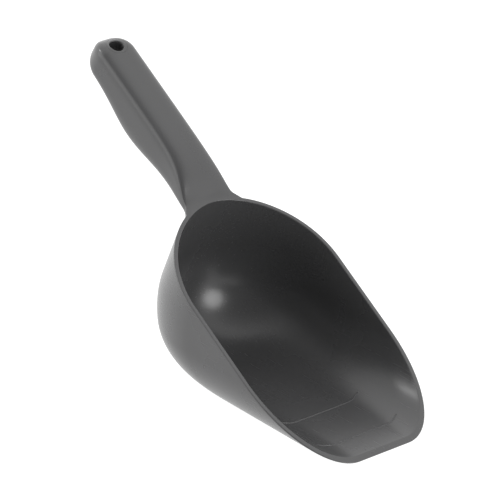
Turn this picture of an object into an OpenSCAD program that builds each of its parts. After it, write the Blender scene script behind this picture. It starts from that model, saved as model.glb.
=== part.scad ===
// Ice scoop: a trough-shaped bowl with a flat floor, cut by one sloping rim
// plane, carrying a hollow two-piece grip in line with the rim.
// Millimetres. +X points to the lip, +Z up, the flat floor stands on Z = 0,
// the origin is the bottom centre of the overall box.

/* [Bowl] */
// Overall width of the bowl across its upright side walls
bowl_width = 102; // [80:1:130]
// Width of the flat floor between the two corner radii
floor_width = 34; // [20:1:60]
// Moulded thickness of floor and walls
wall = 2.4; // [1.6:0.1:4]
// Slope of the rim plane against the floor, degrees
rim_angle = 31.5; // [22:0.1:40]
// Upright land left at the front edge of the lip
lip_land = 0.6; // [0.3:0.1:1.5]
// Distance from the lip to the point where the floor turns up at the back
floor_length = 123; // [100:1:140]
// Radius of the turn from floor to back wall, side view
back_radius = 42; // [30:1:55]
// Forward lean of the back wall above that radius, degrees
back_lean = 21.5; // [0:0.5:28]
// Length over which the plan outline rounds off at the back
back_round = 62; // [45:1:75]

// Fullness of the plan curve at the back, at floor level (2 is an ellipse)
back_power_floor = 2.2; // [1.7:0.05:3]
// Fullness of the plan curve at the back, at rim level
back_power_rim = 1.85; // [1.7:0.05:3]

/* [Handle] */
// Length of the handle from the back of the rim to its tip
handle_length = 112; // [90:1:135]
// Width of the grip
grip_width = 23.6; // [20:0.2:32]
// Extra width where the neck flares into the bowl
neck_flare = 10; // [4:0.2:14]
// Height of the crown of the grip above the rim plane
crown_height = 11.8; // [6:0.2:15]
// Depth of the underside below the rim plane at both ends of the grip
grip_depth = 8.8; // [6:0.2:14]
// Depth of the underside where the neck meets the bowl
neck_depth = 6; // [4:0.2:12]
// Extra depth of the finger belly
belly_depth = 7.6; // [0:0.1:10]
// Position of the belly from the back of the rim
belly_pos = 60; // [40:1:70]
// Length of the rounded tip
tip_round = 14.2; // [10:0.2:20]
// Wall thickness of the grip shells
grip_wall = 1.5; // [1.5:0.1:3]

/* [Hang hole] */
// Diameter of the hang hole
hole_diameter = 8; // [5:0.1:10]
// Distance of the hole axis from the tip
hole_from_tip = 10.5; // [8:0.5:14]
// Outside diameter of the sleeve around the hole
sleeve_diameter = 12; // [10:0.2:15]

/* [Level lines] */
// Distance of the first level line from the lip
level_low = 19.5; // [12:0.1:30]
// Distance of the second level line from the lip
level_high = 51.3; // [35:0.1:60]
// Width of a raised line
line_width = 0.9; // [0.5:0.1:1.5]
// Height of a raised line above the floor
line_height = 0.4; // [0.2:0.05:0.8]

/* [Hidden] */
gap = 0.05;
corner = (bowl_width - floor_width)/2;
hf = floor_width/2;
ta = tan(rim_angle);
lean = -tan(back_lean);
// back wall tangent point on the outer radius
zt = back_radius*(1 + sin(back_lean));
bt = floor_length + back_radius*cos(back_lean);

// ---- bowl surfaces, o = offset inwards from the outer skin ----
// half width at height z
function half_w(z, o) = let(r = corner - o, d = corner - min(z, corner))
    hf + sqrt(max(r*r - d*d, 0));
// distance of the back wall from the lip at height z
function back_s(z, o) = let(r = back_radius - o,
        zo = back_radius + r*sin(back_lean), so = floor_length + r*cos(back_lean))
    z < zo ? floor_length + sqrt(max(r*r - pow(back_radius - z, 2), 0))
           : so + (z - zo)*lean;
// height at which the rim plane meets the back wall
function rim_top(o) = let(r = back_radius - o,
        zo = back_radius + r*sin(back_lean), so = floor_length + r*cos(back_lean))
    (lip_land + ta*(so - zo*lean))/(1 - ta*lean);
// fullness of the back curve at height z
function fullness(z) = back_power_floor
    + (back_power_rim - back_power_floor)*min(z/rim_top(0), 1.2);
// plan curve at height z, v = 0 at the rim cut, v = 1 at the middle of the back
function plan(z, o, v) = let(
        w = half_w(z, o), b = back_s(z, o), e = back_round - o,
        c = min((z - lip_land)/ta, b), c0 = max(c, 0), m = b - e,
        q = max(0, min(1, (c0 - m)/e)), h = 1/fullness(z), f0 = asin(pow(q, 0.5/h)),
        ls = max(0, m - c0), la = (90 - f0)/90*1.25*e,
        t = v*(ls + la))
    t < ls ? [c0 + t, w]
           : let(f = f0 + (la > 0 ? (t - ls)/la : 1)*(90 - f0)) [m + e*pow(sin(f), 2*h), w*pow(max(cos(f), 0), 2*h)];
// heights of the mesh levels for one skin
n_low = 12;
n_high = 15;
function level(k, o) = let(zt = rim_top(o))
    k <= n_low ? corner - (corner - o)*cos(90*k/n_low)
               : let(t = (k - n_low)/n_high) zt - (zt - corner)*pow(1 - t, 1.8);
n_lev = n_low + n_high;
n_col = 26;
// rim back point and handle directions
rim_s = back_s(rim_top(0), 0);
rim_z = rim_top(0);
ca = cos(rim_angle);
sa = sin(rim_angle);
total = rim_s + handle_length*ca + 0.97;
lip_x = total/2;
function place(s, y, z) = [lip_x - s, y, z];

module bowl_shape() {
    nc = 2*n_col + 1;
    function row(o) = [for (k = [0:n_lev-1]) let(z = level(k, o))
        for (j = [-n_col:n_col]) let(p = plan(z, o, 1 - abs(j)/n_col))
            place(p[0], j == 0 ? 0 : -sign(j)*p[1], z)];
    po = row(0);
    pi = row(wall);
    no = len(po);
    tip_o = [place(rim_s, 0, rim_z)];
    tip_i = [place(back_s(rim_top(wall), wall), 0, rim_top(wall))];
    pts = concat(po, pi, tip_o, tip_i);
    a = 2*no;
    b = 2*no + 1;
    function o(k, j) = k*nc + j;
    function i(k, j) = no + k*nc + j;
    last = n_lev - 1;
    faces = concat(
        // outer and inner skins
        [for (k = [0:last-1], j = [0:nc-2]) each [[o(k,j), o(k,j+1), o(k+1,j+1)], [o(k,j), o(k+1,j+1), o(k+1,j)]]],
        [for (k = [0:last-1], j = [0:nc-2]) each [[i(k,j), i(k+1,j+1), i(k,j+1)], [i(k,j), i(k+1,j), i(k+1,j+1)]]],
        // fans at the back of the rim
        [for (j = [0:nc-2]) [o(last,j), o(last,j+1), a]],
        [for (j = [0:nc-2]) [i(last,j), b, i(last,j+1)]],
        // floors
        [for (j = [0:n_col-1]) each [[o(0,j), o(0,nc-1-j), o(0,j+1)],
             if (j < n_col-1) [o(0,j+1), o(0,nc-1-j), o(0,nc-2-j)]]],
        [for (j = [0:n_col-1]) each [[i(0,j), i(0,j+1), i(0,nc-1-j)],
             if (j < n_col-1) [i(0,j+1), i(0,nc-2-j), i(0,nc-1-j)]]],
        // rim band
        [for (k = [0:last-1]) each [[o(k,0), o(k+1,0), i(k+1,0)], [o(k,0), i(k+1,0), i(k,0)]]],
        [for (k = [0:last-1]) each [[o(k,nc-1), i(k+1,nc-1), o(k+1,nc-1)], [o(k,nc-1), i(k,nc-1), i(k+1,nc-1)]]],
        [[o(last,0), a, b], [o(last,0), b, i(last,0)],
         [o(last,nc-1), b, a], [o(last,nc-1), i(last,nc-1), b]],
        // lip
        [[o(0,0), i(0,0), i(0,nc-1)], [o(0,0), i(0,nc-1), o(0,nc-1)]]);
    polyhedron(points = pts, faces = [for (f = faces) [f[0], f[2], f[1]]], convexity = 6);
}

// ---- handle frame: a along the handle, y across, n square to the rim plane ----
function from_handle(a, y, n) = place(rim_s + a*ca - n*sa, y, rim_z + a*sa + n*ca);
function tip_scale(a, o) = let(l = tip_round - o, d = a - (handle_length - tip_round))
    d <= 0 ? 1 : sqrt(max(0.0001, 1 - pow(min(d/l, 1), 2)));
function grip_half(a, o) = grip_width/2 + neck_flare/2/(1 + exp((a - 13)/7)) - o;
function grip_top(a, o) = lip_land + (crown_height - lip_land)
    *(1 - exp(-pow(max(a, 0)/15, 1.4))) - o;
function grip_low(a, o) = grip_depth - o - (grip_depth - neck_depth)/(1 + exp((a - 13)/7))
    + belly_depth*exp(-pow((a - belly_pos)/(a < belly_pos ? 28 : 23.5), 2));
// closed cross-section, angle t: crown on top, squarer underside
function ring(a, t, o) = let(k = tip_scale(a, o), c = cos(t), s = sin(t),
        w = grip_half(a, o), e = s >= 0 ? 2/4.6 : 1/2)
    [k*w*sign(c)*pow(abs(c), e),
     k*(s >= 0 ? grip_top(a, o) : grip_low(a, o))*sign(s)*pow(abs(s), e)];
// station at which a point (y, n) of the handle meets the back of the bowl
function meet(y, n, a, i) = i == 0 ? a : let(z = rim_z + a*sa + n*ca, w = half_w(z, 0),
        p = fullness(z),
        s = back_s(z, 0) - back_round + back_round*pow(max(0, 1 - pow(abs(y)/w, p)), 1/p))
    meet(y, n, (s + gap - rim_s + n*sa)/ca, i - 1);
function root(t, o, a, i) = i == 0 ? a :
    let(p = ring(a, t, o)) root(t, o, meet(p[0], p[1], a, 6), i - 1);
neck_end = 40;
n_neck = 8;
n_grip = 14;
n_tip = 8;
n_st = n_neck + n_grip + n_tip;
function station(k, t, o, r) =
    k <= n_neck ? let(u = k/n_neck) r + (neck_end - r)*u
    : k <= n_neck + n_grip ? neck_end + (handle_length - tip_round - neck_end)*(k - n_neck)/n_grip
    : handle_length - tip_round + (tip_round - o)*sin(88*(k - n_neck - n_grip)/n_tip);
function skin(angles, o) = [for (t = angles) let(r = root(t, o, 0, 5))
    [for (k = [0:n_st]) let(a = station(k, t, o, r), p = ring(a, t, o))
        from_handle(a, p[0], p[1])]];

// open shell between two angles
module shell(t0, t1, m) {
    ang = [for (i = [0:m]) t0 + (t1 - t0)*i/m];
    so = skin(ang, 0);
    si = skin(ang, grip_wall);
    w = n_st + 1;
    no = w*(m + 1);
    pts = concat([for (c = so) each c], [for (c = si) each c]);
    function o(i, k) = i*w + k;
    function n(i, k) = no + i*w + k;
    faces = concat(
        [for (i = [0:m-1], k = [0:n_st-1]) each [[o(i,k), o(i+1,k), o(i+1,k+1)], [o(i,k), o(i+1,k+1), o(i,k+1)]]],
        [for (i = [0:m-1], k = [0:n_st-1]) each [[n(i,k), n(i+1,k+1), n(i+1,k)], [n(i,k), n(i,k+1), n(i+1,k+1)]]],
        // edges along the seam
        [for (k = [0:n_st-1]) each [[o(0,k), o(0,k+1), n(0,k+1)], [o(0,k), n(0,k+1), n(0,k)]]],
        [for (k = [0:n_st-1]) each [[o(m,k), n(m,k+1), o(m,k+1)], [o(m,k), n(m,k), n(m,k+1)]]],
        // end on the bowl and end at the tip
        [for (i = [0:m-1]) each [[o(i,0), n(i,0), n(i+1,0)], [o(i,0), n(i+1,0), o(i+1,0)]]],
        [for (i = [0:m-1]) each [[o(i,n_st), n(i+1,n_st), n(i,n_st)], [o(i,n_st), o(i+1,n_st), n(i+1,n_st)]]]);
    polyhedron(points = pts, faces = faces, convexity = 6);
}
// solid outline of the tip, used to trim the sleeve flush
module tip_solid() {
    m = 48;
    k0 = n_neck + n_grip - 1;
    ang = [for (i = [0:m-1]) 360*i/m];
    c = skin(ang, 0.02);
    w = n_st - k0 + 1;
    pts = [for (q = c) for (k = [k0:n_st]) q[k]];
    function o(i, k) = (i%m)*w + k;
    polyhedron(points = pts, convexity = 2, faces = concat(
        [for (i = [0:m-1], k = [0:w-2]) each [[o(i,k), o(i+1,k), o(i+1,k+1)], [o(i,k), o(i+1,k+1), o(i,k+1)]]],
        [[for (i = [m-1:-1:0]) o(i,0)]], [[for (i = [0:m-1]) o(i,w-1)]]));
}
// cylinder on the axis of the hang hole
module on_hole(d, h0, h1) {
    p = from_handle(handle_length - hole_from_tip, 0, h0);
    translate(p) rotate([0, rim_angle, 0]) cylinder(d = d, h = h1 - h0, $fn = 64);
}

module bowl() color("#55565a") bowl_shape();
// one raised line, following the inner skin in a plane parallel to the rim
module level_line(s0) {
    m = 22;
    ymax = 28;
    // height of the inner skin at distance y from the middle
    function zi(y) = let(r = corner - wall, d = max(abs(y) - hf, 0)) corner - sqrt(r*r - d*d);
    function ny(y) = let(r = corner - wall, d = max(abs(y) - hf, 0)) -sign(y)*d/r;
    function nz(y) = let(r = corner - wall, d = max(abs(y) - hf, 0)) sqrt(1 - d*d/r/r);
    pts = [for (i = [0:m]) let(y = -ymax + 2*ymax*i/m, z = zi(y), s = s0 + (z - wall)/ta)
        for (q = [[-1, 0.02], [1, 0.02], [0.6, line_height], [-0.6, line_height]])
            place(s + q[0]*line_width/2, y + ny(y)*q[1], z + nz(y)*q[1])];
    polyhedron(points = pts, convexity = 4, faces = concat(
        [[0, 1, 2, 3]], [[4*m+3, 4*m+2, 4*m+1, 4*m]],
        [for (i = [0:m-1], q = [0:3]) let(a = 4*i + q, b = 4*i + (q + 1)%4)
            each [[a, b + 4, b], [a, a + 4, b + 4]]]));
}
module level_line_low() color("#5d5e62") level_line(level_low);
module level_line_high() color("#5d5e62") level_line(level_high);
seam = 52;
module handle_upper_shell() color("#5a5b5f") difference() {
    shell(-seam, 180 + seam, 40);
    on_hole(sleeve_diameter + 2*gap, -1, 30);
}
module handle_underside_cover() color("#4c4d51") difference() {
    shell(180 + seam + 0.3, 360 - seam - 0.3, 20);
    on_hole(sleeve_diameter + 2*gap, -30, 0);
}
module hang_hole_sleeve() color("#66676b") difference() {
    intersection() { tip_solid(); on_hole(sleeve_diameter, -25, 25); }
    on_hole(hole_diameter, -30, 30);
}

bowl();
level_line_low();
level_line_high();
handle_upper_shell();
handle_underside_cover();
hang_hole_sleeve();
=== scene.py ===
"""Looks of the ice scoop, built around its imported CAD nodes.

Lengths are in millimetres and angles in radians until a mesh is made. A point of the bowl is (s, y, z):
s runs back from the lip along the floor, y across and z up. A point of the handle is (a, y, n): a runs
along the handle from the back of the rim, n square to the rim plane.
"""

import math

import bmesh
import bpy
import numpy as np
from mathutils import Matrix, Vector


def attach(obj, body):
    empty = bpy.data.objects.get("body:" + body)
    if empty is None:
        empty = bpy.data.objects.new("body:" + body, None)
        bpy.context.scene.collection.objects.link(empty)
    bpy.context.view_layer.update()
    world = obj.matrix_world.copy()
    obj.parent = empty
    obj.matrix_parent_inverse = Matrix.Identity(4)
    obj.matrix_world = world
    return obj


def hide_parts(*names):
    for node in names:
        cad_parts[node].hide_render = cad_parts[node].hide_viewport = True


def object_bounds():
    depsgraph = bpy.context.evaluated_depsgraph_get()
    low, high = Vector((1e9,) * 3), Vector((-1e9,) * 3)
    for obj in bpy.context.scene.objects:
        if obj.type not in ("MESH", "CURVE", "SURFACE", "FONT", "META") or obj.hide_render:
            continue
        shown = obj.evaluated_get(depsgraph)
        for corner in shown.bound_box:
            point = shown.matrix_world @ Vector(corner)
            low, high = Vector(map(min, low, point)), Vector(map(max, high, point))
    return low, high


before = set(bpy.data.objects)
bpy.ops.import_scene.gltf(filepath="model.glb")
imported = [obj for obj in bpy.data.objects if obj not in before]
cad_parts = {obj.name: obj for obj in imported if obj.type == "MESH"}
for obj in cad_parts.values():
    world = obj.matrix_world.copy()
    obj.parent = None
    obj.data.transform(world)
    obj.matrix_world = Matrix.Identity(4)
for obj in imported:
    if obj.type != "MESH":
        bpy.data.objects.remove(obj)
cad_low, cad_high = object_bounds()

# ---------------------------------------------------------------- driving dimensions
MM = 0.001
BOWL_WIDTH = 102.0
FLOOR_WIDTH = 34.0
WALL = 2.4
RIM_ANGLE = math.radians(31.5)
LIP_LAND = 0.6
FLOOR_LENGTH = 123.0
BACK_RADIUS = 42.0
BACK_LEAN = math.radians(21.5)
BACK_ROUND = 62.0
POWER_FLOOR = 2.2  # fullness of the back's plan curve at the floor
POWER_RIM = 1.85  # and at the rim
POWER_REACH = 1.2  # share of the rim's height up to which the fullness goes on changing
HANDLE_LENGTH = 111.95  # a hair short, so that the tip stays inside the CAD model's box
GRIP_WIDTH = 23.6
NECK_FLARE = 9.0
NECK_FLARE_AT = 13.0  # station at which half of the flare is left
NECK_FLARE_SPREAD = 7.0
CROWN_HEIGHT = 11.75  # a hair low, for the same reason
CROWN_RISE = 15.0  # length over which the crown rises from the rim
CROWN_RISE_POWER = 1.4
GRIP_DEPTH = 8.8
NECK_DEPTH = 6.0
BELLY_DEPTH = 7.6
BELLY_POS = 60.0
BELLY_TO_NECK = 28.0  # spread of the belly towards the neck
BELLY_TO_TIP = 23.5
TOP_POWER = 4.6  # squareness of the grip's section above its widest line
LOW_POWER = 4.0  # and below it
TIP_ROUND = 14.2
GRIP_WALL = 1.5
HOLE_RADIUS = 4.0
HOLE_FROM_TIP = 10.5
SLEEVE_RADIUS = 6.0
LEVEL_LOW = 19.5
LEVEL_HIGH = 51.3
LINE_WIDTH = 0.88
LINE_HEIGHT = 0.33
LINE_REACH = 28.0
LINE_SUNK = 0.05  # how far a level line's foot is below the skin
LINE_END = 1.2  # length over which a level line fades out
RIM_ROUNDING = 0.5  # edge radius along the rim
LIP_ROUNDING = 0.385  # edge radius at the thin front of the lip
LIP_BLEND = (0.5, 12.5)  # heights between which the one grows into the other
SEAM_ANGLE = math.radians(52)

CORNER = (BOWL_WIDTH - FLOOR_WIDTH) / 2
HALF_FLOOR = FLOOR_WIDTH / 2
SA, CA, TA = math.sin(RIM_ANGLE), math.cos(RIM_ANGLE), math.tan(RIM_ANGLE)


# ---------------------------------------------------------------- the bowl's skins
def half_width(z, inset):
    """Half the bowl's width at height z."""
    radius = CORNER - inset
    drop = CORNER - np.minimum(z, CORNER)
    return HALF_FLOOR + np.sqrt(np.maximum(radius**2 - drop**2, 0))


def back_turn(inset):
    """(s, z) of the point where the round foot of the back turns into its leaning wall."""
    radius = BACK_RADIUS - inset
    return FLOOR_LENGTH + radius * math.cos(BACK_LEAN), BACK_RADIUS + radius * math.sin(BACK_LEAN)


def back_at(z, inset):
    """Distance of the back wall from the lip at height z."""
    turn_s, turn_z = back_turn(inset)
    low = FLOOR_LENGTH + np.sqrt(np.maximum((BACK_RADIUS - inset) ** 2 - (BACK_RADIUS - z) ** 2, 0))
    return np.where(z < turn_z, low, turn_s - (z - turn_z) * math.tan(BACK_LEAN))


def rim_back():
    """(s, z) of the point where the outer back wall meets the rim plane."""
    turn_s, turn_z = back_turn(0)
    lean = math.tan(BACK_LEAN)
    z = (LIP_LAND + TA * (turn_s + turn_z * lean)) / (1 + TA * lean)
    return float(back_at(z, 0)), z


RIM_S, RIM_Z = rim_back()
LIP_X = cad_high.x / MM


def fullness(z):
    """Power of the plan curve at the back."""
    return POWER_FLOOR + (POWER_RIM - POWER_FLOOR) * np.minimum(z / RIM_Z, POWER_REACH)


def inside(s, y, z, inset):
    """Whether a point lies within the skin that is inset from the outer one."""
    w = half_width(z, inset)
    length = BACK_ROUND - inset
    start = back_at(z, inset) - length
    p = fullness(z)
    across = np.minimum(np.abs(y) / np.maximum(w, 1e-6), 1)
    round_back = across**p + (np.maximum(s - start, 0) / length) ** p < 1
    return (z > inset) & (np.abs(y) < w) & round_back


def from_rim(q, y, depth):
    """(s, y, z) of a point q along the rim plane from the lip, depth below it."""
    return np.stack(np.broadcast_arrays(q * CA + depth * SA, y, LIP_LAND + q * SA - depth * CA), -1)


SKIN_ROWS = 110
SKIN_HALF_COLUMNS = 190
FINE_RAYS = 2600  # rays per half turn that look for the skin
SEARCH_STEPS = 46  # halvings of each ray's range
LONGEST_RAY = 170.0


def contours(inset):
    """Depths below the rim, the loop where the skin meets each such plane, and the skin's deepest point."""
    radius = BACK_RADIUS - inset
    deepest = FLOOR_LENGTH * SA + radius - (BACK_RADIUS - LIP_LAND) * CA
    depth = deepest * (1 - np.linspace(1, 0, SKIN_ROWS + 1)[:-1] ** 2)[:, None]
    pole_q = (FLOOR_LENGTH + radius * SA - deepest * SA) / CA
    turn = np.linspace(0, math.pi, FINE_RAYS)[None, :]
    low, high = np.zeros((SKIN_ROWS, FINE_RAYS)), np.full((SKIN_ROWS, FINE_RAYS), LONGEST_RAY)
    for _ in range(SEARCH_STEPS):
        mid = (low + high) / 2
        p = from_rim(pole_q - mid * np.cos(turn), mid * np.sin(turn), depth)
        within = inside(p[..., 0], p[..., 1], p[..., 2], inset)
        low, high = np.where(within, mid, low), np.where(within, high, mid)
    q, y = pole_q - low * np.cos(turn), low * np.sin(turn)
    loops = []
    for row in range(SKIN_ROWS):
        run = np.concatenate([[0], np.cumsum(np.hypot(np.diff(q[row]), np.diff(y[row])))])
        at = np.linspace(0, run[-1], SKIN_HALF_COLUMNS + 1)
        half = from_rim(np.interp(at, run, q[row]), np.interp(at, run, y[row]), depth[row, 0])
        half[0, 1] = half[-1, 1] = 0
        loops.append(np.concatenate([half, half[-2:0:-1] * [1, -1, 1]]))
    pole = from_rim(pole_q, 0.0, deepest)
    return depth[:, 0], np.array(loops), pole


def unit(v):
    """Vectors of length 1."""
    return v / np.linalg.norm(v, axis=-1, keepdims=True)


RIM_UP = np.array([-SA, 0, CA])


EDGE_STEPS = 8


def rounded_edge(edge, down, along, radius):
    """Rows of points round an edge, from the wall's side to the land's side, and how far they reach down."""
    beta = np.arccos(np.clip((down * along).sum(-1, keepdims=True), -1, 1))
    reach = radius / np.tan(beta / 2)
    centre = edge + unit(down + along) * radius / np.sin(beta / 2)
    first, last = edge + down * reach - centre, edge + along * reach - centre
    sweep = math.pi - beta
    parts = [
        centre + (np.sin((1 - f) * sweep) * first + np.sin(f * sweep) * last) / np.sin(sweep)
        for f in np.linspace(0, 1, EDGE_STEPS + 1)
    ]
    return parts, reach


def skin_and_edge(skin, side, radius):
    """The deepest point, the rows from there up to the rim, and the rows round its edge.

    side is 1 for the outer skin and -1 for the inner one.
    """
    depth, loops, pole = skin
    edge = loops[0]
    along_rim = unit(np.roll(edge, -1, 0) - np.roll(edge, 1, 0))
    down = loops[1] - edge
    down = unit(down - (down * along_rim).sum(-1, keepdims=True) * along_rim)
    land = side * np.cross(along_rim, RIM_UP)
    arc, reach = rounded_edge(edge, down, land, radius)
    start = (reach * -(down @ RIM_UP)[:, None])[:, 0]
    deepest = (pole - [0, 0, LIP_LAND]) @ -RIM_UP
    rows = []
    for row in range(SKIN_ROWS - 1, 0, -1):
        share = depth[row] / deepest
        wanted = start + (deepest - start) * share
        rows.append(np.array([
            [np.interp(wanted[c], depth, loops[:, c, k]) for k in range(3)] for c in range(edge.shape[0])
        ]))
    return pole, rows, arc


def place(points):
    """(s, y, z) to the part's own axes."""
    p = np.asarray(points, float)
    return np.stack([LIP_X - p[..., 0], p[..., 1], p[..., 2]], -1)


def from_handle(p):
    """(a, y, n) to (s, y, z)."""
    a, y, n = p[..., 0], p[..., 1], p[..., 2]
    return np.stack([RIM_S + a * CA - n * SA, y, RIM_Z + a * SA + n * CA], -1)


def sheet_faces(rows, columns, closed, first=0):
    """Quads of a sheet of points given row by row."""
    last = columns if closed else columns - 1
    return [
        (
            first + r * columns + c,
            first + r * columns + (c + 1) % columns,
            first + (r + 1) * columns + (c + 1) % columns,
            first + (r + 1) * columns + c,
        )
        for r in range(rows - 1)
        for c in range(last)
    ]


WELD = 1e-7  # metres


def make_object(name, points, faces, weld=0.0):
    """An object with these (s, y, z) points and faces, its normals turned outwards."""
    mesh = bpy.data.meshes.new(name)
    mesh.from_pydata((place(points) * MM).tolist(), [], faces)
    bm = bmesh.new()
    bm.from_mesh(mesh)
    if weld:
        bmesh.ops.remove_doubles(bm, verts=bm.verts, dist=weld)
    bmesh.ops.recalc_face_normals(bm, faces=bm.faces)
    bm.to_mesh(mesh)
    bm.free()
    made = bpy.data.objects.new(name, mesh)
    bpy.context.scene.collection.objects.link(made)
    return made


def make_piece(name, points, faces, slot, node):
    """A smooth piece that rides on the part's one body and stands for its CAD node."""
    piece = make_object(name, points, faces, WELD)
    piece.data.shade_smooth()
    piece.data.materials.append(plastics[slot])
    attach(piece, "root")
    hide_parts(node)
    return piece


# ---------------------------------------------------------------- materials
COLOUR_DRIFT = 0.06  # share by which the colour wanders
GLOSS_DRIFT = 0.03  # how far the roughness wanders
SCUFF_SHAPE = (14, 260, 260)  # scuffs run along the part
SCUFF_RANGE = (0.62, 0.8)  # only the peaks of the noise become scuffs
GRAIN_HEIGHT = 0.00004
RIPPLE_HEIGHT = 0.0004
RIPPLE_STRENGTH = 0.12


def moulded_plastic(name, colour, roughness, grain, wear):
    """Satin moulded plastic: faint colour drift, cloudy gloss, a fine texture and light handling marks."""
    material = bpy.data.materials.new(name)
    material.use_nodes = True
    tree = material.node_tree
    shader = tree.nodes["Principled BSDF"]
    shader.inputs["IOR"].default_value = 1.5
    shader.inputs["Specular IOR Level"].default_value = 0.5
    where = tree.nodes.new("ShaderNodeTexCoord").outputs["Object"]

    def noise(scale, detail, vector=where):
        node = tree.nodes.new("ShaderNodeTexNoise")
        node.inputs["Scale"].default_value = scale
        node.inputs["Detail"].default_value = detail
        tree.links.new(vector, node.inputs["Vector"])
        return node.outputs["Fac"]

    def ramp(value, low, high, span=(0, 1)):
        node = tree.nodes.new("ShaderNodeMapRange")
        node.inputs["From Min"].default_value, node.inputs["From Max"].default_value = span
        node.inputs["To Min"].default_value = low
        node.inputs["To Max"].default_value = high
        tree.links.new(value, node.inputs["Value"])
        return node.outputs["Result"]

    def bump(height, strength, distance):
        node = tree.nodes.new("ShaderNodeBump")
        node.inputs["Strength"].default_value = strength
        node.inputs["Distance"].default_value = distance
        tree.links.new(height, node.inputs["Height"])
        return node

    drift = tree.nodes.new("ShaderNodeMix")
    drift.data_type = "RGBA"
    drift.inputs["A"].default_value = [(1 - COLOUR_DRIFT) * c for c in colour] + [1]
    drift.inputs["B"].default_value = [(1 + COLOUR_DRIFT) * c for c in colour] + [1]
    tree.links.new(noise(38, 4), drift.inputs["Factor"])
    tree.links.new(drift.outputs["Result"], shader.inputs["Base Color"])

    stretch = tree.nodes.new("ShaderNodeMapping")
    stretch.inputs["Scale"].default_value = SCUFF_SHAPE
    tree.links.new(where, stretch.inputs["Vector"])
    gloss = tree.nodes.new("ShaderNodeMath")
    gloss.operation = "ADD"
    clouds = ramp(noise(24, 5), roughness - GLOSS_DRIFT, roughness + GLOSS_DRIFT)
    scuffs = ramp(noise(3, 3, stretch.outputs["Vector"]), 0, wear, SCUFF_RANGE)
    tree.links.new(clouds, gloss.inputs[0])
    tree.links.new(scuffs, gloss.inputs[1])
    tree.links.new(gloss.outputs["Value"], shader.inputs["Roughness"])

    texture = bump(noise(2600, 2), grain, GRAIN_HEIGHT)
    ripple = bump(noise(60, 2), RIPPLE_STRENGTH, RIPPLE_HEIGHT)
    tree.links.new(texture.outputs["Normal"], ripple.inputs["Normal"])
    tree.links.new(ripple.outputs["Normal"], shader.inputs["Normal"])
    return material


BOWL_GREY = (0.053, 0.053, 0.054)
HANDLE_GREY = (0.05, 0.05, 0.051)
MARK_GREY = (0.047, 0.047, 0.048)
plastics = {
    "bowl_plastic": moulded_plastic("bowl_plastic", BOWL_GREY, roughness=0.27, grain=0.12, wear=0.03),
    "handle_plastic": moulded_plastic("handle_plastic", HANDLE_GREY, roughness=0.28, grain=0.15, wear=0.08),
    "mark_plastic": moulded_plastic("mark_plastic", MARK_GREY, roughness=0.28, grain=0.12, wear=0.04),
}

# ---------------------------------------------------------------- bowl
HOLDING_LOOP = 0.03  # share of the land's width next to each rounded edge


def scoop_bowl():
    """The bowl as one closed sheet: outer skin, rounded edge, land, rounded edge and inner skin."""
    outer_skin = contours(0)
    rim_z = outer_skin[1][0][:, 2]
    lip_share = np.clip((rim_z - LIP_BLEND[0]) / (LIP_BLEND[1] - LIP_BLEND[0]), 0, 1)[:, None]
    outer_radius = LIP_ROUNDING + (RIM_ROUNDING - LIP_ROUNDING) * lip_share
    inner_radius = np.full_like(outer_radius, RIM_ROUNDING)
    outer_pole, outer_rows, outer_arc = skin_and_edge(outer_skin, 1, outer_radius)
    inner_pole, inner_rows, inner_arc = skin_and_edge(contours(WALL), -1, inner_radius)
    land_out, land_in = outer_arc[-1], inner_arc[-1]
    land_rows = [land_out + (land_in - land_out) * f for f in (HOLDING_LOOP, 0.5, 1 - HOLDING_LOOP)]
    rows = outer_rows + outer_arc + land_rows + inner_arc[::-1] + inner_rows[::-1]
    points = np.concatenate(rows + [outer_pole[None], inner_pole[None]])
    columns = 2 * SKIN_HALF_COLUMNS
    faces = sheet_faces(len(rows), columns, True)
    pole_out = len(rows) * columns
    pole_in = pole_out + 1
    last_row = pole_out - columns
    faces += [((c + 1) % columns, c, pole_out) for c in range(columns)]
    faces += [(last_row + c, last_row + (c + 1) % columns, pole_in) for c in range(columns)]
    return make_piece("scoop_bowl", points, faces, "bowl_plastic", "bowl")


scoop_bowl()


# ---------------------------------------------------------------- handle surface
def bell(a):
    """Falls from 1 at the neck to 0 along the grip."""
    return 1 / (1 + np.exp((a - NECK_FLARE_AT) / NECK_FLARE_SPREAD))


def grip_half(a):
    """Half the grip's width at station a."""
    return GRIP_WIDTH / 2 + NECK_FLARE / 2 * bell(a)


def grip_top(a):
    """Height of the grip's crown above the rim plane at station a."""
    rise = 1 - np.exp(-((np.maximum(a, 0) / CROWN_RISE) ** CROWN_RISE_POWER))
    return LIP_LAND + (CROWN_HEIGHT - LIP_LAND) * rise


def grip_low(a):
    """Depth of the grip's underside below the rim plane at station a."""
    spread = np.where(a < BELLY_POS, BELLY_TO_NECK, BELLY_TO_TIP)
    belly = BELLY_DEPTH * np.exp(-(((a - BELLY_POS) / spread) ** 2))
    return GRIP_DEPTH - (GRIP_DEPTH - NECK_DEPTH) * bell(a) + belly


def tip_scale(a, inset):
    """Share of the full section that the rounded tip leaves at station a."""
    run = np.clip((a - (HANDLE_LENGTH - TIP_ROUND)) / (TIP_ROUND - inset), 0, 1)
    return np.sqrt(1 - run**2)


def squared(t):
    """Point at angle t of a curve squarer than a unit circle, and whether it is in the upper half."""
    c, s = np.cos(t), np.sin(t)
    top = s >= 0
    power = np.where(top, 2 / TOP_POWER, 2 / LOW_POWER)
    return np.sign(c) * np.abs(c) ** power, np.sign(s) * np.abs(s) ** power, top


def section(a, t, inset=0.0):
    """Point of the handle's cross-section at station a and angle t, as (a, y, n)."""
    across, up, top = squared(t)
    k = tip_scale(a, inset)
    height = np.where(top, grip_top(a), grip_low(a)) - inset
    y = k * (grip_half(a) - inset) * across
    n = k * height * up
    return np.stack(np.broadcast_arrays(a, y, n), -1)


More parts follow.
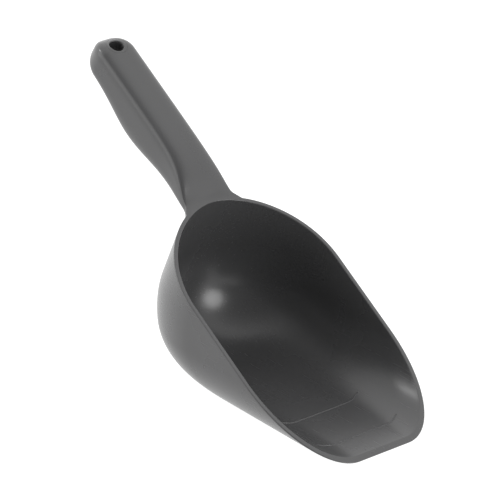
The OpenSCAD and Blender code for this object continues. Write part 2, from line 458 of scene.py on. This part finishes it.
MEET_STEPS = 12


def meet(y, n):
    """Station at which the line (y, n) along the handle reaches the outer back of the bowl."""
    a = np.zeros(np.broadcast(y, n).shape)
    for _ in range(MEET_STEPS):
        z = RIM_Z + a * SA + n * CA
        p = fullness(z)
        across = np.minimum(np.abs(y) / half_width(z, 0), 1)
        s = back_at(z, 0) - BACK_ROUND + BACK_ROUND * (1 - across**p) ** (1 / p)
        a = (s - RIM_S + n * SA) / CA
    return a


FINE_ANGLES = 6001


def even_angles(start, end, count):
    """Angles from start to end that space the points of an average section evenly."""
    t = np.linspace(start, end, FINE_ANGLES)
    across, up, top = squared(t)
    y = GRIP_WIDTH / 2 * across
    n = np.where(top, CROWN_HEIGHT, GRIP_DEPTH + BELLY_DEPTH / 2) * up
    run = np.concatenate([[0], np.cumsum(np.hypot(np.diff(y), np.diff(n)))])
    return np.interp(np.linspace(0, run[-1], count), run, t)


ROOT_HALF = 19.6  # half width of the neck's foot along the rim
ROOT_DEPTH = 11.5  # depth of the neck's foot below the rim plane
FILLET_RUN = 5.0  # length of the fillet along the handle
LIFT = 0.02  # how far the foot stands off the bowl
FOOT_INSET = (1 - math.sqrt(0.5)) * RIM_ROUNDING  # middle of the rounded rim edge
FOOT_REACH = WALL - RIM_ROUNDING - 0.12  # how far the foot goes in over the land
FOOT_TURN = 0.5  # sine of the angle from which the foot has that full reach
FOOT_AHEAD = 3  # how soon the foot leaves straight along the handle, going up from the sides
SLOPE_STEP = 0.05


def edge_drop(d):
    """How far a rounded rim edge falls away at distance d from the sharp one."""
    return RIM_ROUNDING - np.sqrt(np.maximum(RIM_ROUNDING**2 - np.maximum(RIM_ROUNDING - d, 0) ** 2, 0))


def foot(t):
    """Where the neck starts on the bowl and the direction in which it leaves the bowl, both (a, y, n)."""
    c, s = np.cos(t), np.sin(t)
    across, up_share, top = squared(t)
    y = ROOT_HALF * across
    side = np.where(y >= 0, 1.0, -1.0)
    # on the land, from the outer edge in towards the inner one
    share = np.clip(np.abs(s) / FOOT_TURN, 0, 1)
    share = share * share * (3 - 2 * share)
    inset = FOOT_INSET + (FOOT_REACH - FOOT_INSET) * share
    slope = (meet(np.abs(y) - SLOPE_STEP, 0 * y) - meet(np.abs(y), 0 * y)) / SLOPE_STEP
    stretch = np.sqrt(1 + slope**2)
    a_land = meet(y, 0 * y) - inset * stretch
    n_land = LIFT - edge_drop(inset)
    # on the wall below the rim
    sunk = FOOT_INSET + (ROOT_DEPTH - FOOT_INSET) * np.abs(up_share)
    a_wall = meet(y, -sunk) - edge_drop(sunk) * stretch + LIFT
    on_land, on_wall = np.stack([a_land, y, n_land], -1), np.stack([a_wall, y, -sunk], -1)
    point = np.where(top[:, None], on_land, on_wall)
    # directions within the surface
    level = -np.where(top, 0, sunk)
    a_here, a_inward = meet(np.abs(y), level), meet(np.abs(y) - SLOPE_STEP, level)
    inward = unit(np.stack([a_inward - a_here, -side * SLOPE_STEP, 0 * y], -1))
    a_above = meet(y, level + SLOPE_STEP)
    up = unit(np.stack([a_above - meet(y, level), 0 * y, 0 * y + SLOPE_STEP], -1))
    forward = np.array([1.0, 0, 0])
    ahead = np.clip(np.abs(s) * FOOT_AHEAD, 0, 1)[:, None]
    leave_top = unit(inward * (1 - ahead) + forward * ahead)
    leave_low = unit(inward * np.abs(c)[:, None] + up * np.abs(s)[:, None])
    return point, np.where(top[:, None], leave_top, leave_low)


FILLET_ROWS = 16
GRIP_ROWS = 92
TIP_ROWS = 26
FILLET_PULL = (1.05, 1.0)  # strength of the fillet's directions at the bowl and at the grip
SHOULDER = HANDLE_LENGTH - TIP_ROUND  # station at which the tip starts to round off


def handle_rows(t):
    """Rows of the handle's outer surface from the bowl to the tip, for these angles."""
    start, leave = foot(t)
    own = section(0 * t, t)
    first = meet(own[:, 1], own[:, 2]) + FILLET_RUN
    end = section(first, t)
    arrive = unit(section(first + 0.01, t) - end)
    span = np.linalg.norm(end - start, axis=-1, keepdims=True)
    rows = []
    for w in np.linspace(0, 1, FILLET_ROWS + 1):
        rows.append(
            (2 * w**3 - 3 * w**2 + 1) * start
            + (w**3 - 2 * w**2 + w) * leave * span * FILLET_PULL[0]
            + (3 * w**2 - 2 * w**3) * end
            + (w**3 - w**2) * arrive * span * FILLET_PULL[1]
        )
    for f in np.linspace(0, 1, GRIP_ROWS + 1)[1:]:
        rows.append(section(first + (SHOULDER - first) * f, t))
    for f in np.linspace(0, 1, TIP_ROWS + 1)[1:]:
        rows.append(section(0 * t + SHOULDER + TIP_ROUND * math.sin(f * math.pi / 2), t))
    return rows


FOOT_WALL = 0.25  # thickness of the shell where it starts on the bowl
FOOT_TUCK = 0.2  # how far its inside is drawn back there
MIDDLE_N = -2  # height of the line that the inside is drawn towards


def inner_rows_of(t, outer):
    """Rows of the shell's hidden inside, matching the outer rows."""
    rows = []
    for i, row in enumerate(outer[: FILLET_ROWS + 1]):
        share = i / FILLET_ROWS
        thick = FOOT_WALL + (GRIP_WALL - FOOT_WALL) * share
        middle = np.stack([row[:, 0], 0 * t, 0 * t + MIDDLE_N], -1)
        rows.append(row + unit(middle - row) * thick - [FOOT_TUCK * (1 - share), 0, 0])
    for row in outer[FILLET_ROWS + 1 : FILLET_ROWS + 1 + GRIP_ROWS]:
        rows.append(section(row[:, 0], t, GRIP_WALL))
    for f in np.arange(1, TIP_ROWS + 1) / TIP_ROWS:
        a = SHOULDER + (TIP_ROUND - GRIP_WALL) * math.sin(f * math.pi / 2)
        rows.append(section(0 * t + a, t, GRIP_WALL))
    return rows


GROOVE = 0.12  # half width of the groove along the seam
GROOVE_STEPS = ((0.35, 0.03), (0.8, 0.14), (1.0, 0.35))  # shares of that width, and depths
GROOVE_END = 6  # rows over which the groove fades out at the tip
TINY = 1e-9  # keeps a direction defined where two points meet


def shell_piece(name, t, node):
    """A closed shell between two seam angles, with its long edges eased into the seam groove."""
    outer = handle_rows(t)
    inner = np.array(inner_rows_of(t, outer))
    outer = np.array(outer)
    sink = unit(inner - outer + TINY)
    fade = np.ones((len(outer), 1))
    fade[-GROOVE_END:, 0] = np.linspace(1, 0, GROOVE_END)

    def eased(edge, neighbour):
        """Extra columns beyond an edge column, which sink towards the inside."""
        away = unit(outer[:, neighbour] - outer[:, edge] + TINY)
        return [outer[:, edge] - away * GROOVE * u * fade + sink[:, edge] * v * fade for u, v in GROOVE_STEPS]

    before, after = eased(0, 1)[::-1], eased(-1, -2)
    skin = np.concatenate([np.stack(before, 1), outer, np.stack(after, 1), inner[:, ::-1]], axis=1)
    rows, columns = skin.shape[:2]
    faces = sheet_faces(rows, columns, True)
    # faces that close the foot, between outer and inner columns, and the same ones at the tip
    start = len(before)
    end = start + outer.shape[1]
    turn = end + len(after)
    ends = [(i, i + 1, columns + start - 2 - i, columns + start - 1 - i) for i in range(start, end - 1)]
    ends.append((*range(start + 1), columns - 1))
    ends.append((*range(end - 1, turn), turn))
    tip = (rows - 1) * columns
    faces += ends + [tuple(tip + i for i in face) for face in ends]
    return make_piece(name, from_handle(skin.reshape(-1, 3)), faces, "handle_plastic", node)


UPPER_COLUMNS = 190
LOWER_COLUMNS = 84
upper_t = even_angles(-SEAM_ANGLE, math.pi + SEAM_ANGLE, UPPER_COLUMNS)
lower_t = even_angles(math.pi + SEAM_ANGLE, 2 * math.pi - SEAM_ANGLE, LOWER_COLUMNS)
upper = shell_piece("handle_upper", upper_t, "handle_upper_shell")
lower = shell_piece("handle_underside", lower_t, "handle_underside_cover")


# ---------------------------------------------------------------- hang hole
HOLE_A = HANDLE_LENGTH - HOLE_FROM_TIP
LEAD_IN = 0.8  # radius of the rounded mouth
MOUTH_EDGE = ((0.0, 0.12), (0.04, 0.03), (0.14, 0.0))  # steps in from the sleeve's outside, and drops
MOUTH_LAND = 0.6
MOUTH_STEPS = 9
BORE_STEPS = 13
SLEEVE_SIDES = 96


def surface_height(a, y, top):
    """n of the handle's skin above or below the point (a, y)."""
    power = TOP_POWER if top else LOW_POWER
    k = tip_scale(a, 0)
    height = grip_top(a) if top else -grip_low(a)
    return k * height * (1 - np.minimum(np.abs(y) / (k * grip_half(a)), 1) ** power) ** (1 / power)


def circle():
    """Angles of the sleeve's sides."""
    return np.linspace(0, 2 * math.pi, SLEEVE_SIDES, endpoint=False)


def mouth_ring(radius, drop, top):
    """Points round the hang hole's axis, a drop below the handle's skin."""
    a, y = HOLE_A + radius * np.cos(circle()), radius * np.sin(circle())
    n = surface_height(a, y, top) - (drop if top else -drop)
    return np.stack([a, y, n], -1)


def mouth_rows(top):
    """Rows over one mouth of the sleeve, from its outside into the bore."""
    made = [(SLEEVE_RADIUS - step, drop) for step, drop in MOUTH_EDGE]
    made += [(HOLE_RADIUS + LEAD_IN + f * MOUTH_LAND, 0.0) for f in (1, 0.5, 0)]
    for f in np.linspace(0, math.pi / 2, MOUTH_STEPS + 1)[1:]:
        made.append((HOLE_RADIUS + LEAD_IN * (1 - math.sin(f)), LEAD_IN * (1 - math.cos(f))))
    return [mouth_ring(radius, drop, top) for radius, drop in made]


def hang_hole_ring():
    """The sleeve of the hang hole, flush with the grip, with rounded mouths."""
    upper_rows, lower_rows = mouth_rows(True), mouth_rows(False)[::-1]
    high, low = upper_rows[-1], lower_rows[0]
    bore = [high + (low - high) * f for f in np.linspace(0, 1, BORE_STEPS + 1)[1:-1]]
    rows = upper_rows + bore + lower_rows
    faces = sheet_faces(len(rows), SLEEVE_SIDES, True)
    last = (len(rows) - 1) * SLEEVE_SIDES
    for c in range(SLEEVE_SIDES):
        beside = (c + 1) % SLEEVE_SIDES
        faces.append((last + c, last + beside, beside, c))
    points = from_handle(np.concatenate(rows))
    return make_piece("hang_hole_ring", points, faces, "handle_plastic", "hang_hole_sleeve")


hang_hole_ring()

DRILL_RADIUS = SLEEVE_RADIUS + 0.03
DRILL_REACH = 30
CREASE = math.radians(40)


def drill(piece):
    """Cuts the round opening for the sleeve through a shell."""
    a, y = HOLE_A + DRILL_RADIUS * np.cos(circle()), DRILL_RADIUS * np.sin(circle())
    ends = [np.stack([a, y, 0 * y + n], -1) for n in (-DRILL_REACH, DRILL_REACH)]
    faces = sheet_faces(2, SLEEVE_SIDES, True)
    faces += [tuple(range(SLEEVE_SIDES - 1, -1, -1)), tuple(range(SLEEVE_SIDES, 2 * SLEEVE_SIDES))]
    tool = make_object("drill", from_handle(np.concatenate(ends)), faces)
    cut = piece.modifiers.new("drill", "BOOLEAN")
    cut.object, cut.operation, cut.solver = tool, "DIFFERENCE", "EXACT"
    bpy.context.view_layer.update()
    made = bpy.data.meshes.new_from_object(piece.evaluated_get(bpy.context.evaluated_depsgraph_get()))
    piece.modifiers.clear()
    piece.data = made
    made.set_sharp_from_angle(angle=CREASE)
    bpy.data.objects.remove(tool)


drill(upper)
drill(lower)


# ---------------------------------------------------------------- level lines
LINE_STATIONS = 121
LINE_AROUND = 13
LINE_TIP = 0.25  # share of its width that a level line keeps at its very end
LINE_CROWN = 0.75  # below 1 for a fuller top


def level_line(name, node, from_lip):
    """A softly rounded raised line on the inside, in a plane parallel to the rim."""
    y = np.linspace(-LINE_REACH, LINE_REACH, LINE_STATIONS)
    radius = CORNER - WALL
    out = np.maximum(np.abs(y) - HALF_FLOOR, 0)
    z = CORNER - np.sqrt(radius**2 - out**2)
    s = from_lip + (z - WALL) / TA
    ny, nz = -np.sign(y) * out / radius, np.sqrt(1 - (out / radius) ** 2)
    end = np.clip((LINE_REACH - np.abs(y)) / LINE_END, 0, 1)
    size = np.sqrt(1 - (1 - end) ** 2)
    rows = []
    for f in np.linspace(0, math.pi, LINE_AROUND):
        side = -math.cos(f) * LINE_WIDTH / 2 * (LINE_TIP + (1 - LINE_TIP) * size)
        height = LINE_HEIGHT * math.sin(f) ** LINE_CROWN * size - LINE_SUNK
        rows.append(np.stack([s + side, y + ny * height, z + nz * height], -1))
    faces = sheet_faces(LINE_AROUND, LINE_STATIONS, False)
    last = (LINE_AROUND - 1) * LINE_STATIONS
    faces += [(c + 1, c, last + c, last + c + 1) for c in range(LINE_STATIONS - 1)]
    left = tuple(range(0, last + 1, LINE_STATIONS))
    faces += [left, tuple(i + LINE_STATIONS - 1 for i in left)[::-1]]
    return make_piece(name, np.concatenate(rows), faces, "mark_plastic", node)


level_line("level_ridge_low", "level_line_low", LEVEL_LOW)
level_line("level_ridge_high", "level_line_high", LEVEL_HIGH)

# ---------------------------------------------------------------- camera
EYE_DISTANCE = 2.503
LENS = 330.5
SENSOR = 36
ROLL = math.radians(-0.85)
BACK = Vector((0.6973, -0.5647, 0.4415)).normalized()  # from the scoop to the eye
RIGHT = Vector((0.6293, 0.7772, 0)).normalized()
UP = BACK.cross(RIGHT)
ANCHOR = Vector((-0.03686, 0, 0.0425))  # a point inside the back of the bowl
AIM_RIGHT, AIM_UP = 0.0297, 0.0133  # from the anchor to the middle of the picture

eye = ANCHOR + BACK * EYE_DISTANCE
look = (ANCHOR + RIGHT * AIM_RIGHT + UP * AIM_UP - eye).normalized()
camera = bpy.data.objects.new("camera", bpy.data.cameras.new("camera"))
camera.data.lens = LENS
camera.data.sensor_width = SENSOR
camera.data.clip_end = 20
facing = look.to_track_quat("-Z", "Y").to_matrix().to_4x4()
camera.matrix_world = Matrix.Translation(eye) @ Matrix.Rotation(ROLL, 4, look) @ facing
bpy.context.scene.collection.objects.link(camera)
bpy.context.scene.camera = camera

# ---------------------------------------------------------------- floor and light
FLOOR_SIZE = 12.0
FLOOR_Z = -0.0002  # just under the bowl's flat bottom
FLOOR_GREY = 0.2
FLOOR_ROUGHNESS = 0.9
FLOOR_GLOW = 0.98
SKY_BRIGHT = 1.6
SKY_DIM = 0.3  # on the side where the camera stands
DIM_SIDE = (0.72, -0.62, 0.32)
DIM_FROM, DIM_TO = 0.12, 0.92  # cosines to that side between which the sky dims
LIGHTS_AIM = (0, 0, 0.06)


def pale_floor():
    """A plain pale floor that glows a little, so that shadows on it stay light."""
    mesh = bpy.data.meshes.new("floor")
    corners = [(x * FLOOR_SIZE, y * FLOOR_SIZE, FLOOR_Z) for x, y in ((-1, -1), (1, -1), (1, 1), (-1, 1))]
    mesh.from_pydata(corners, [], [(0, 1, 2, 3)])
    floor = bpy.data.objects.new("floor", mesh)
    bpy.context.scene.collection.objects.link(floor)
    material = bpy.data.materials.new("floor_white")
    material.use_nodes = True
    shader = material.node_tree.nodes["Principled BSDF"]
    shader.inputs["Base Color"].default_value = (FLOOR_GREY, FLOOR_GREY, FLOOR_GREY, 1)
    shader.inputs["Roughness"].default_value = FLOOR_ROUGHNESS
    shader.inputs["Emission Color"].default_value = (1, 1, 1, 1)
    shader.inputs["Emission Strength"].default_value = FLOOR_GLOW
    mesh.materials.append(material)


def studio_sky():
    """A bright white studio that is darker on the side where the camera stands."""
    world = bpy.data.worlds.new("studio")
    world.use_nodes = True
    nodes, links = world.node_tree.nodes, world.node_tree.links
    toward = nodes.new("ShaderNodeVectorMath")
    toward.operation = "DOT_PRODUCT"
    toward.inputs[1].default_value = Vector(DIM_SIDE).normalized()
    links.new(nodes.new("ShaderNodeTexCoord").outputs["Generated"], toward.inputs[0])
    dimmer = nodes.new("ShaderNodeMapRange")
    dimmer.interpolation_type = "SMOOTHSTEP"
    dimmer.inputs["From Min"].default_value = DIM_FROM
    dimmer.inputs["From Max"].default_value = DIM_TO
    dimmer.inputs["To Min"].default_value = SKY_BRIGHT
    dimmer.inputs["To Max"].default_value = SKY_DIM
    links.new(toward.outputs["Value"], dimmer.inputs["Value"])
    links.new(dimmer.outputs["Result"], nodes["Background"].inputs["Strength"])
    nodes["Background"].inputs["Color"].default_value = (1, 1, 1, 1)
    bpy.context.scene.world = world
    bpy.context.scene.view_settings.view_transform = "Standard"


def area_light(name, direction, distance, size, energy):
    """A round soft light in this direction from the scoop, facing it."""
    light = bpy.data.lights.new(name, "AREA")
    light.shape = "DISK"
    light.size, light.energy = size, energy
    lamp = bpy.data.objects.new(name, light)
    lamp.location = Vector(LIGHTS_AIM) + Vector(direction).normalized() * distance
    lamp.rotation_euler = Vector(direction).to_track_quat("Z", "Y").to_euler()
    bpy.context.scene.collection.objects.link(lamp)


pale_floor()
studio_sky()
area_light("front_soft", (0.93, 0.16, 0.33), 1.6, 0.8, 11)
area_light("left_fill", (-0.5, -0.85, 0.12), 1.7, 1.9, 9)
area_light("back_spark", (-0.73, -0.44, 0.52), 2.0, 0.1, 4)
